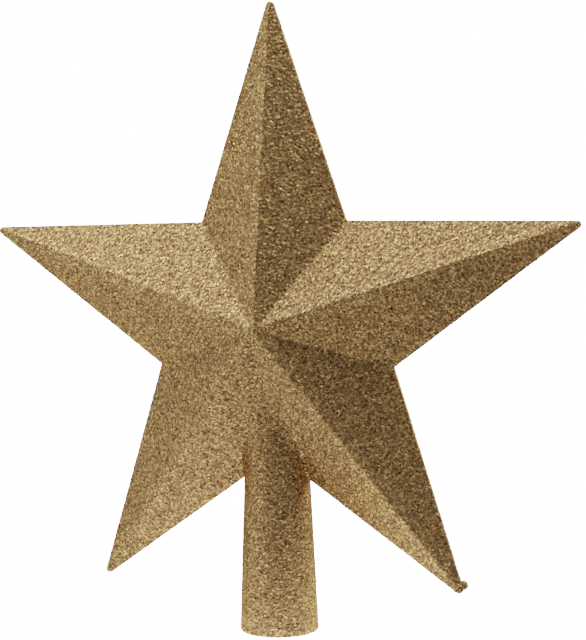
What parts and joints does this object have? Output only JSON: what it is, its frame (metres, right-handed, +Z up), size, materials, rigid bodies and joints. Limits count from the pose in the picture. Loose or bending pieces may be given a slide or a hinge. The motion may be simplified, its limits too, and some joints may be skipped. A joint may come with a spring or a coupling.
{
  "type": "christmas tree topper star",
  "caption": "Faceted hollow star with a tapered socket tube that slips over the leading shoot of a christmas tree, coated all over with gold glitter.",
  "frame": {"origin": "centre of the socket tube's mouth, in the plane of its rim", "axes": "+Z up along the tube to the star's top point, -Y towards the front face, +X to the right seen from the front"},
  "size_m": [0.1844, 0.0406, 0.1899],
  "materials": {
    "moulded_polystyrene": "gold-tinted polystyrene, as moulded, bare only inside the socket and on its rim",
    "gold_glitter": "crust of fine metallised film glitter in clear adhesive"
  },
  "bodies": {
    "root": {"front_shell": "moulded_polystyrene", "back_shell": "moulded_polystyrene", "front_glitter_coat": "gold_glitter", "back_glitter_coat": "gold_glitter"}
  },
  "joints": []
}
